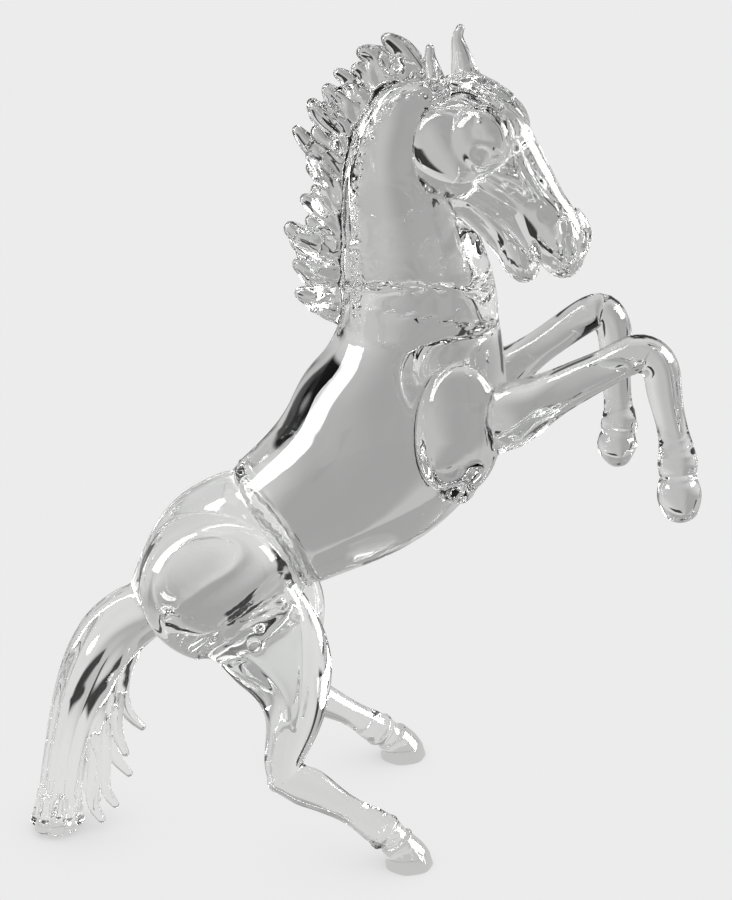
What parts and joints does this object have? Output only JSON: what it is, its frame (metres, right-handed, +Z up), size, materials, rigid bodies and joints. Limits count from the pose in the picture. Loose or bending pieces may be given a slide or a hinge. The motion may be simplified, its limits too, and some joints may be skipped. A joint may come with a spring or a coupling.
{
  "type": "glass horse figurine",
  "caption": "Solid clear glass figurine of a rearing horse that stands on its hind hooves and the flared end of its tail.",
  "frame": {"origin": "on the surface that it stands on, under the middle of the figure's bounding box", "axes": "+Z up, +X the way the horse faces, so its left side is at +Y"},
  "size_m": [0.3372, 0.1364, 0.4225],
  "materials": {
    "clear_glass": "clear, fire polished"
  },
  "bodies": {
    "root": {"horse": "clear_glass"}
  },
  "joints": []
}
